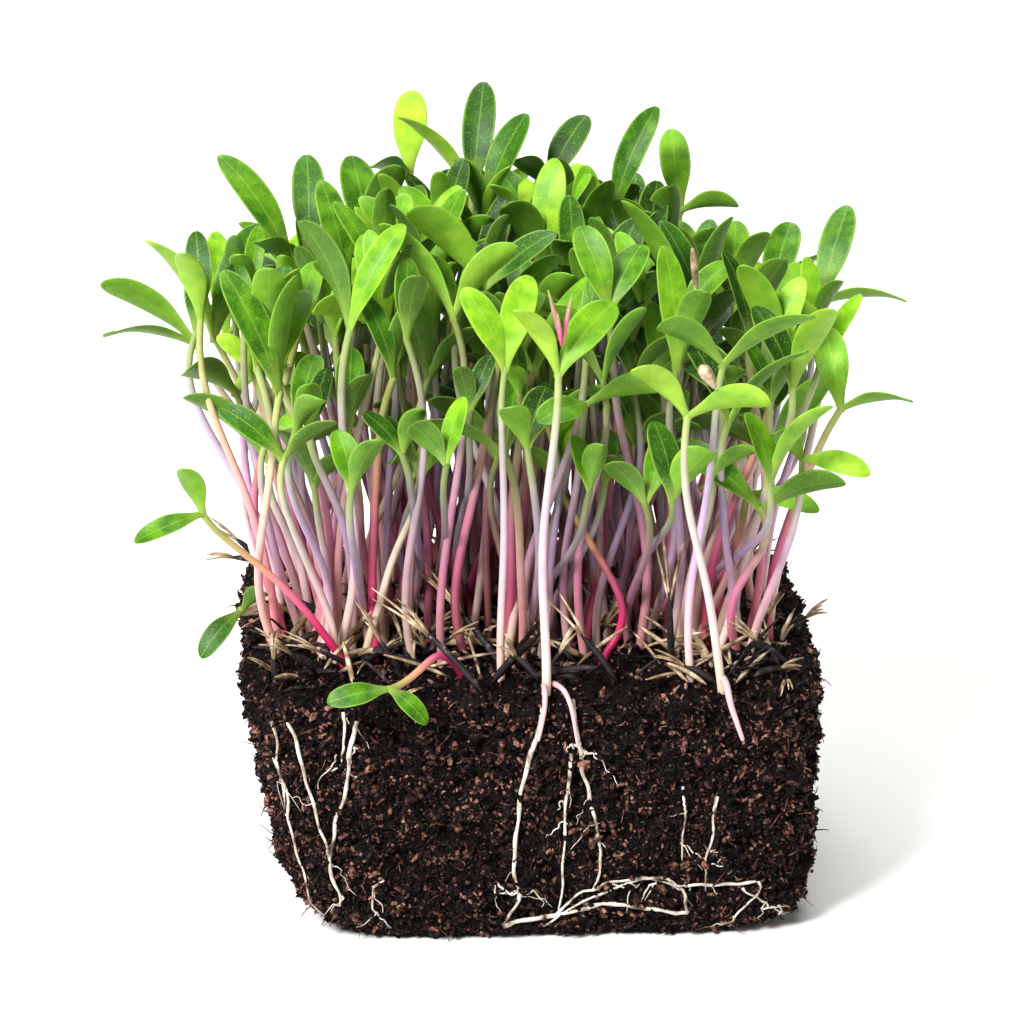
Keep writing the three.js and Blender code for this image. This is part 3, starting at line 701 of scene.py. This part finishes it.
# %% [markdown]
# ## Seedlings
# A stem starts as a cone with eight sides, cut into rings that are moved onto the curve of the stem. A
# leaf starts as a flat grid that is extruded to a slab and then moved onto the curved, slightly hollow
# blade. A curve object could draw the stem as well, but stem and leaves are one plant and stay one mesh.

# %% Stem and leaf as parts of one mesh
LAYERS = ("along", "across", "under", "tone", "blush", "cream")
scratch = bpy.data.meshes.new("scratch")


def new_part():
    bm = bmesh.new()
    for name in LAYERS:
        bm.verts.layers.float.new(name)
    return bm


def pour(part, bm, slot, **looks):
    """Give a finished part its material and looks, and move it into the mesh of its piece."""
    for name, value in looks.items():
        layer = part.verts.layers.float[name]
        for v in part.verts:
            v[layer] = value
    for face in part.faces:
        face.material_index = slot
        face.smooth = True
    part.to_mesh(scratch)
    part.free()
    bm.from_mesh(scratch)


def add_tube(bm, line, radii, sides, slot, **looks):
    part = new_part()
    bmesh.ops.create_cone(part, cap_ends=True, segments=sides, radius1=1, radius2=1, depth=1)
    long_edges = [e for e in part.edges if abs(e.verts[0].co.z - e.verts[1].co.z) > 0.5]
    bmesh.ops.subdivide_edges(part, edges=long_edges, cuts=len(line) - 2)
    # points that fall on the same spot have no direction, so each gets a trace of down
    ways = np.gradient(line, axis=0) - (0, 0, 1e-6)
    ways /= np.linalg.norm(ways, axis=1)[:, None]
    firsts = np.cross(ways, (0.3, 1, 0.2))
    firsts /= np.linalg.norm(firsts, axis=1)[:, None]
    seconds = np.cross(ways, firsts)
    layer = part.verts.layers.float["along"]
    for v in part.verts:
        v[layer] = v.co.z + 0.5
        ring = round(v[layer] * (len(line) - 1))
        v.co = Vector(line[ring] + radii[ring] * (v.co.x * firsts[ring] + v.co.y * seconds[ring])) * MM
    pour(part, bm, slot, **looks)


def blade_half_width(width, t):
    ease = np.clip((t - 0.02) / 0.48, 0, 1)
    end = np.sqrt(np.clip(1 - np.clip((t - 0.6) / 0.4, 0, None) ** 2.4, 0, None))
    return 0.43 * width * (0.24 + 0.76 * ease ** 2 * (3 - 2 * ease)) * end


def add_leaf(bm, sprout, leaf, series, **looks):
    part = new_part()
    bmesh.ops.create_grid(part, x_segments=4, y_segments=9, size=1)
    extruded = bmesh.ops.extrude_face_region(part, geom=part.faces)["geom"]
    top = {v for v in extruded if isinstance(v, bmesh.types.BMVert)}
    side = np.array([v.co.x for v in part.verts])
    t = (1 - (1 - (np.array([v.co.y for v in part.verts]) + 1) / 2) ** 1.35) * 1.045 - 0.05
    level = np.array([1.0 if v in top else 0.0 for v in part.verts])
    tip, length, face, across = leaf_axes(leaf)
    tip = 1.05 * tip
    half = blade_half_width(leaf[3], t)
    cup, twist, sway = between(series, 0.05, 0.4), between(series, -0.6, 0.6), between(series, -1.2, 1.2)
    body = 0.55 * (1 - 0.7 * side ** 2) * (1 + 1.2 * np.clip(1 - t / 0.3, 0, 1))
    lift = (4 * LEAF_ARCH * length * t * (1 - t) + half * (cup * side ** 2 + side * np.sin(twist * t))
            + (level - 0.5) * body)
    spots = (np.array(sprout[1]) + t[:, None] * tip + lift[:, None] * face
             + (side * half + sway * t ** 2)[:, None] * across)
    layers = [part.verts.layers.float[name] for name in ("along", "across", "under")]
    for v, spot, *values in zip(part.verts, spots, t, side, 1 - level):
        v.co = Vector(spot) * MM
        for layer, value in zip(layers, values):
            v[layer] = value
    pour(part, bm, 1, **looks)


def edge_share(x, y):
    """0 in the middle of the block and 1 at its walls."""
    return max(abs(x) / 46, abs(y) / 44)


def add_seedling(bm, sprout, series, blush, cream, tones):
    line = stem_line(sprout, np.linspace(0, 1, 15))
    beyond = line[-1] + 0.9 * (line[-1] - line[-2]) / np.linalg.norm(line[-1] - line[-2])
    line = np.vstack([line[0] - (0, 0, 5), line, beyond])
    for axis in (0, 1):
        wave = 0.45 * np.sin(np.linspace(0, between(series, 5, 11), 17) + between(series, 0, 6))
        line[1:-2, axis] += wave[1:-2]
    # painted shade: stems inside the stand are darker, those at its rim a little lighter
    lit = np.interp(edge_share(*sprout[0]), (0.3, 0.75), (0.55, 1.14))
    radii = between(series, 0.9, 1.08) * np.linspace(0.82, 0.62, 17)
    add_tube(bm, line, radii, 8, 0, blush=blush, cream=cream, tone=lit)
    # painted shade: leaves that unfold low inside the stand get a lower tone
    inside = np.interp(edge_share(*sprout[1][:2]), (0.6, 0.95), (1, 0))
    shade = inside * np.interp(sprout[1][2], (78, 102), (0.36, 0.08))
    for leaf, tone in zip(sprout[3], tones):
        add_leaf(bm, sprout, leaf, series, tone=tone - shade)


def finish_piece(bm, name, materials, replaced=(), smooth_levels=0):
    bmesh.ops.recalc_face_normals(bm, faces=bm.faces)
    mesh = bpy.data.meshes.new(name)
    bm.to_mesh(mesh)
    bm.free()
    for material in materials:
        mesh.materials.append(material)
    piece = bpy.data.objects.new(name, mesh)
    bpy.context.scene.collection.objects.link(piece)
    if smooth_levels:
        rounding = piece.modifiers.new("rounding", "SUBSURF")
        rounding.levels = rounding.render_levels = smooth_levels
    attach(piece, "root")
    if replaced:
        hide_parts(*replaced)
    return piece


print("every point of a plant carries", ", ".join(LAYERS))

# %% All seedlings
# share of hot pink and of cream in the stem, and the lightness of both leaves
STEM_COLOURS = {1: (0.75, 0), 2: (0.5, 0), 4: (1, 0), 5: (0.2, 0.3), 10: (0.55, 0.4), 11: (0, 1),
                20: (0, 0.3), 22: (0, 0.9), 24: (1, 0), 28: (0.8, 0), 31: (0, 0.5), 34: (0.9, 0), 35: (1, 0)}
LEAF_TONES = [
    (0.8, 0.3), (0.6, 0.4), (0.4, 0.7), (0.6, 0.4), (0.3, 0.4), (0.45, 0.4), (0.35, 0.5), (0.5, 0.4),
    (0.5, 0.6), (0.75, 0.9), (0.4, 0.35), (0.85, 0.6), (0.9, 0.2), (0.35, 0.3), (0.2, 0.3), (0.4, 0.5),
    (0.6, 0.5), (0.8, 0.3), (0.75, 0.8), (0.95, 0.6), (0.4, 0.5), (0.55, 0.5), (0.7, 0.6), (0.95, 0.7),
    (0.5, 0.55), (0.65, 0.6), (0.4, 0.6), (0.5, 0.6), (0.75, 0.6), (0.5, 0.45), (0.85, 0.75), (0.4, 0.45),
    (0.6, 0.55), (0.85, 0.8), (0.35, 0.35), (0.2, 0.25),
]
PLANT = (stem_tissue, leaf_tissue)
FILLING_PIECES = 12
looks = seeded(77)


def any_look():
    return (max(0.0, between(looks, -0.6, 0.95)), max(0.0, between(looks, -0.6, 0.6)),
            (between(looks, 0.1, 0.85), between(looks, 0.1, 0.85)))


for number, sprout in enumerate(sprouts, 1):
    bm = new_part()
    shares = STEM_COLOURS.get(number) or any_look()[:2]
    add_seedling(bm, sprout, looks, *shares, LEAF_TONES[number - 1])
    finish_piece(bm, f"seedling_{number:02d}", PLANT, (f"sprout_{number:02d}",), 1)
for number, members in enumerate(clumps, 1):
    bm = new_part()
    for sprout in members:
        add_seedling(bm, sprout, looks, *any_look())
    finish_piece(bm, f"seedling_clump_{number:02d}", PLANT, (f"sprout_clump_{number:02d}",), 1)
for number in range(FILLING_PIECES):
    bm = new_part()
    for sprout in fillers[number::FILLING_PIECES]:
        add_seedling(bm, sprout, looks, *any_look())
    finish_piece(bm, f"seedling_filling_{number + 1:02d}", PLANT, (), 1)
print("seedlings made:", len(sprouts) + sum(map(len, clumps)) + len(fillers))

# %% [markdown]
# ## Soil
# The block is a cube whose faces are cut into a fine grid, pushed out to the rounded walls of the solid,
# and then roughened by three displacements from clods down to grains. Sculpting would give the same
# walls, but could not be repeated. The lower left edge leans in a little more than the solid, as it does
# in the picture.

# %% The walls of the block
# half width at the top, how far the wall leans in towards the foot, and the rounding of the foot
WALLS = {"left": (46.5, 8, 11), "right": (48, 1.5, 9), "front": (44, 2, 5), "back": (44, 2, 6)}


def reach(wall, z):
    half, taper, foot = WALLS[wall]
    inset = taper * (1 - z / SOIL_HEIGHT)
    if z < foot:
        inset += foot - math.sqrt(foot ** 2 - (foot - z) ** 2)
    rim = z - (SOIL_HEIGHT - 3)
    if rim > 0:
        inset += 3 - math.sqrt(max(0, 9 - rim ** 2))
    return half - inset


def soil_point(x, y, z):
    """Point of the block for a point of a cube from -1 to 1."""
    size = max(abs(x), abs(y))
    if size > 0:
        size /= (abs(x) ** 8 + abs(y) ** 8) ** (1 / 8)
    height = (z + 1) / 2 * SOIL_HEIGHT
    return Vector((x * size * reach("left" if x < 0 else "right", height),
                   y * size * reach("front" if y < 0 else "back", height), height))


SOIL_CUTS = 58
bm = bmesh.new()
bmesh.ops.create_cube(bm, size=2)
bmesh.ops.subdivide_edges(bm, edges=bm.edges, cuts=SOIL_CUTS, use_grid_fill=True)
weights = bm.verts.layers.deform.verify()
for v in bm.verts:
    v.co = soil_point(*v.co) * MM
    v[weights][0] = min(1.0, v.co.z / (4 * MM))
for f in bm.faces:
    f.smooth = True
soil = finish_piece(bm, "soil_body", (potting_soil,), ("soil_block",))
soil.vertex_groups.new(name="above_the_underside")
finer = soil.modifiers.new("finer", "SUBSURF")
finer.subdivision_type = "SIMPLE"
finer.levels = finer.render_levels = 1
# name, pattern, its size and how deep it cuts
for name, kind, size, depth in (("clods", "CLOUDS", 5, 4.0), ("crumbs", "VORONOI", 2.4, 2.0),
                                ("grains", "CLOUDS", 1.2, 1.4)):
    pattern = bpy.data.textures.new(name, kind)
    pattern.noise_scale = size * MM
    rough = soil.modifiers.new(name, "DISPLACE")
    rough.texture = pattern
    rough.texture_coords = "LOCAL"
    rough.vertex_group = "above_the_underside"
    rough.mid_level = 0.6
    rough.strength = depth * MM
print("soil body:", len(soil.data.polygons), "faces before the finer cut")

# %% [markdown]
# ## Crumbs and fibres
# Peat and coir break into small long crumbs, and thin fibres stand out of them. The crumbs are icospheres
# of twenty faces, stretched and dented, on faces of the rough block that a random series picks, more of
# them on the front. Painting them into the material would be cheaper, but then the outline of the block
# would stay smooth.

# %% Crumbs on the rough block
graph = bpy.context.evaluated_depsgraph_get()
shell = soil.evaluated_get(graph)
ground = BVHTree.FromObject(soil, graph)
chance = seeded(31)
# without a seed the dents of the crumbs would follow the clock
noise.seed_set(31)
spots = []
for face in shell.to_mesh().polygons:
    share = 0.95 if face.normal.y < -0.5 else 0.5
    if face.center.z > 0.8 * MM and next(chance) < share:
        spots.append((face.center.copy(), face.normal.copy()))
shell.to_mesh_clear()


def add_crumb(part, centre, normal):
    size = 0.2 + 0.25 * next(chance) ** 2 + 0.35 * (next(chance) < 0.08)
    shift = Vector([between(chance, -0.5, 0.5) for _ in range(3)]) * MM
    centre = centre + shift - normal * shift.dot(normal)
    way = Vector([between(chance, -1, 1) for _ in range(3)])
    turn = way.to_track_quat("X", "Z").to_matrix().to_4x4()
    long, wide = size * between(chance, 0.9, 2.4), size * between(chance, 0.6, 1)
    shape = Matrix.Diagonal((long, wide, size * 0.7, 1))
    place = Matrix.Translation(centre + normal * 0.15 * MM) @ turn @ shape
    made = bmesh.ops.create_icosphere(part, subdivisions=1, radius=MM, matrix=place)
    # crumbs lie in lighter and darker patches of a few millimetres
    light = (0.6 + 0.5 * noise.noise(centre / (4 * MM))) * next(chance) ** 2
    tone = part.verts.layers.float["tone"]
    for v in made["verts"]:
        v[tone] = light
        v.co += noise.noise_vector(v.co / (0.3 * MM)) * 0.45 * size * MM


CRUMBS_IN_A_PIECE = 6000
CRUMBS_IN_A_PART = 60
pieces = math.ceil(len(spots) / CRUMBS_IN_A_PIECE)
for number in range(pieces):
    bm = new_part()
    mine = spots[number::pieces]
    for first in range(0, len(mine), CRUMBS_IN_A_PART):
        part = new_part()
        for centre, normal in mine[first:first + CRUMBS_IN_A_PART]:
            add_crumb(part, centre, normal)
        for v in part.verts:
            v.co.z = max(v.co.z, 0.0)
        pour(part, bm, 0)
    for face in bm.faces:
        face.smooth = False
    finish_piece(bm, f"soil_crumbs_{number + 1:02d}", (potting_soil,), ("soil_block",))
print("crumbs:", len(spots), "in", pieces, "pieces")

# %% Thin fibres that stand out of the soil
bm = new_part()
for centre, normal in spots[::16]:
    start, out = np.array(centre) / MM, np.array(normal)
    way = np.array([between(chance, -1, 1) for _ in range(3)])
    length = between(chance, 1, 3.2)
    share = np.linspace(0, 1, 5)[:, None]
    line = start - 0.2 * out + share * length * way + np.sin(share * between(chance, 1.5, 3.4)) * 0.5 * out
    line[:, 2] = np.maximum(line[:, 2], 0.3)
    radii = between(chance, 0.08, 0.16) * np.linspace(1, 0.5, 5)
    add_tube(bm, line, radii, 4, 0, tone=between(chance, 0.1, 0.6))
fibres = finish_piece(bm, "coir_fibres", (potting_soil,), ("soil_block",))
print("fibre faces:", len(fibres.data.polygons))

# %% [markdown]
# ## Husks and straw
# The seeds of these plants are slender black sticks with a straw-coloured tuft, and many empty ones lie
# among the stems. Each is a cone with few sides, cut into rings and swollen in the middle, the cheapest
# shape that looks round. Particles could strew them, but then none would lie where the picture shows it.

# %% Husks
# foot and tip of the husks that stand out in the picture
PICTURED = [
    ((-8, -43, 43), (-23, -33, 57)), ((23.5, -27, 41), (22.8, -27, 62)), ((42, -30, 42.5), (33, -31, 50)),
    ((-41, 27, 43), (-52, 26, 46)), ((-42, 30, 42), (-50, 31, 50)), ((43, -12, 42), (50, -12, 46.5)),
    ((14, -36, 42), (5, -30, 53)), ((30, -38, 42), (21, -34, 46)), ((-4, -28, 42), (-15, -15, 54)),
    ((36, -36, 42.5), (44, -34, 44)), ((38, -20, 41), (41, -21, 53)),
]


def add_stick(bm, foot, tip, slot, thick, sides=6, **looks):
    share = np.linspace(0, 1, 6)
    line = np.array(foot) + share[:, None] * (np.array(tip) - np.array(foot))
    line[:, 2] += 0.4 * np.sin(share * math.pi)
    add_tube(bm, line, thick * np.array((0.4, 0.9, 1, 0.9, 0.75, 0.3)), sides, slot, **looks)


def add_husk(bm, foot, tip, series, thick):
    """A black shell and four straws that fan out from its end."""
    foot, tip = np.array(foot, float), np.array(tip, float)
    neck = foot + 0.62 * (tip - foot)
    add_stick(bm, foot, neck, 0, thick)
    for straw in range(4):
        spread = np.array([between(series, -1, 1) for _ in range(3)]) * 0.13 * np.linalg.norm(tip - foot)
        add_stick(bm, neck - 0.1 * (tip - foot), tip + spread, 1, 0.45 * thick, 4)


LITTER_TRIES = 270
litter = seeded(91)
bm = new_part()
for foot, tip in [*husks, *PICTURED]:
    add_husk(bm, foot, tip, litter, 0.6)
for i in range(LITTER_TRIES):
    foot = np.array([between(litter, -42, 43), between(litter, -41, 40), between(litter, 40.6, 43)])
    turn, lean = between(litter, 0, 2 * math.pi), between(litter, 0.0, 0.7)
    tip = foot + between(litter, 6, 15) * direction(turn, lean)
    if abs(tip[0]) < 46 and abs(tip[1]) < 43 and foot[1] > -36 - 6 * next(litter):
        kind = next(litter)
        if kind < 0.25:
            add_husk(bm, foot, tip, litter, between(litter, 0.45, 0.7))
        else:
            thick = between(litter, 0.25, 0.5) + 0.3 * (next(litter) < 0.2)
            add_stick(bm, foot, tip, int(kind < 0.68), thick, 5)
# dried pink bits in a fork, and two straw-coloured ones among the leaves
for foot, tip in (((4.5, -44, 100), (2.2, -46, 109.5)), ((4.6, -44, 100), (5.9, -46, 108.5)),
                  ((4.4, -44, 100), (3.6, -47, 106))):
    add_stick(bm, foot, tip, 2, 0.4, 5, blush=0.7, tone=1.0)
add_stick(bm, (26, -30, 112), (26.8, -30, 104), 1, 0.6)
add_stick(bm, (25.6, -50, 98), (28, -50, 94.5), 1, 1.1)
husk_piece = finish_piece(bm, "seed_husks", (husk_shell, husk_straw, stem_tissue), ("soil_block",))
print("husk faces:", len(husk_piece.data.polygons))

# %% [markdown]
# ## Roots
# White roots run down the walls and lie in a tangle along the foot of the front. They are tubes like the
# stems, laid on the rough soil through a few points of the wall, with thinner side roots. A shrinkwrap
# modifier could lay them there too, but it would flatten them against the crumbs.

# %% Roots on the walls
# radius, and points across and up the front wall
FRONT_ROOTS = [
    (0.55, (2, 42), (0, 33), (-2, 24), (-3, 14), (-2, 8), (-5, 2.5)),
    (0.5, (6, 42), (8, 30), (10, 22), (11, 15), (10, 9)),
    (0.4, (-39, 38), (-36.5, 28), (-33.5, 18), (-31, 7)), (0.35, (6, 32), (5.2, 21), (4.5, 6)),
    (0.42, (-28, 38), (-30, 27), (-32.5, 17), (-31.3, 6)), (0.3, (-30, 40), (-30.2, 35), (-31, 30)),
    (0.25, (24.5, 25), (24.3, 14)), (0.3, (29.3, 24.5), (29, 16), (27.8, 8.5)),
    (0.4, (-5, 2.5), (4.5, 4.8), (14, 6.4), (24, 4.4), (25.2, 7), (21.4, 11), (11, 8.2), (2, 3)),
    (0.3, (25.5, 8.8), (33, 9.6), (37.6, 8.9), (34, 4), (31, 2)), (0.25, (33.6, 8.6), (37.7, 5.9), (41, 3)),
    (0.25, (3, 4), (9, 9), (16, 10.5), (23, 9.5), (26, 6)), (0.25, (6.7, 34), (9, 32.6), (10.8, 31.6)),
    (0.3, (-43.5, 38), (-42.5, 30), (-40.5, 20), (-38.5, 11), (-35, 3)),
    (0.2, (-44, 30), (-42.8, 25), (-44, 20)),
    (0.22, (-24, 12), (-26, 9), (-25, 5), (-23, 3)), (0.22, (-6, 10), (-3, 8.5), (0, 9), (2, 6)),
]


def on_wall(wall, along, z):
    out = reach(wall, min(max(z, 0.4), 41.5))
    nominal = {"front": (along, -out, z), "back": (along, out, z),
               "left": (-out, along, z), "right": (out, along, z)}
    spot, normal, _, _ = ground.find_nearest(Vector(nominal[wall]) * MM)
    return np.array(spot + normal * 0.6 * MM) / MM


def smooth_line(points, steps):
    points = np.array(points, float)
    padded = np.vstack([2 * points[0] - points[1], points, 2 * points[-1] - points[-2]])
    line = []
    for k in range(len(points) - 1):
        a, b, c, d = padded[k:k + 4]
        for t in np.arange(steps) / steps:
            line.append(b + 0.5 * t * (c - a + t * (2 * a - 5 * b + 4 * c - d + t * (3 * (b - c) + d - a))))
    return np.array([*line, points[-1]])


def add_root(bm, wall, radius, points, series):
    path = smooth_line(points, 8)
    path += np.array([[between(series, -0.5, 0.5) for _ in range(2)] for _ in path])
    line = np.array([on_wall(wall, *spot) for spot in path])
    for _ in range(2):
        line[1:-1] = (line[:-2] + 2 * line[1:-1] + line[2:]) / 4
    girth = np.array([between(series, 0.8, 1.25) for _ in line])
    add_tube(bm, line, 0.95 * radius * girth * np.linspace(1, 0.45, len(line)), 6, 0)
    return path


def add_side_roots(bm, wall, path, count, series):
    for i in range(count):
        start = path[int(next(series) * (len(path) - 1))]
        way = np.array([between(series, -1, 1), between(series, -1, 0.3)])
        points = [start, start + way * between(series, 1, 3), start + way * between(series, 3, 6) + (0, -1)]
        add_root(bm, wall, between(series, 0.1, 0.18), np.maximum(points, (-60, 1.2)), series)


MAIN_ROOTS = 3
wander = seeded(14)
bm = new_part()
for number, (radius, *points) in enumerate(FRONT_ROOTS, 1):
    main = new_part() if number <= MAIN_ROOTS else bm
    path = add_root(main, "front", radius, points, wander)
    add_side_roots(main, "front", path, 3, wander)
    if number <= MAIN_ROOTS:
        finish_piece(main, f"white_root_{number:02d}", (root_tissue,), (f"root_{number:02d}",), 1)
for wall in ("left", "right", "back"):
    for i in range(9):
        along, z = between(wander, -36, 36), between(wander, 16, 40)
        points = [(along, z)]
        while z > 4 and len(points) < 6:
            along, z = along + between(wander, -5, 5), z - between(wander, 3, 9)
            points.append((along, max(z, 1.5)))
        path = add_root(bm, wall, between(wander, 0.2, 0.45), points, wander)
        add_side_roots(bm, wall, path, 3, wander)
fine_roots = finish_piece(bm, "fine_roots", (root_tissue,))
print("root faces:", len(fine_roots.data.polygons))

# %% [markdown]
# ## Feet over the edge
# Three stems stand so near the front that their feet hang over the edge and down the wall. They are pale
# tubes through a few points. They could be bent ends of the stems, but the stems keep to their solids.

# %% Feet that hang over the front edge
# radius, and points from the soil's top over the edge
OVER_THE_EDGE = [
    (0.75, (30.5, -40.5, 44), (31, -43.5, 43.5), (31.5, -45.6, 41), (32.5, -46.3, 38), (33.5, -46.2, 35)),
    (0.6, (2, -40, 43), (2, -42.6, 42.9), (1.9, -44.6, 41), (1.4, -45, 38), (0.8, -44.8, 35)),
    (0.55, (3.4, -39, 43), (5, -42.6, 42.9), (6, -44.6, 41), (6.6, -45, 38), (7.2, -44.8, 34)),
]
bm = new_part()
for radius, *points in OVER_THE_EDGE:
    line = smooth_line(points, 4)
    radii = radius * np.linspace(0.5, 1, len(line))
    add_tube(bm, line[::-1], radii, 8, 0, along=0.25, blush=0.1, cream=0.3, tone=1.05)
finish_piece(bm, "hanging_feet", (stem_tissue,), (), 1)
print(len(OVER_THE_EDGE), "feet hang over the edge")

# %% [markdown]
# ## Size and finish
# The box of the dressed plant is printed here, next to the box of the solids from the start. Both
# could be read in the sidebar of the viewport too.

# %% Print the dressed box and finish
bpy.data.meshes.remove(scratch)
new_box = [list(map(float, corner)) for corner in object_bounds()]
print("dressed from", new_box[0], "to", new_box[1])
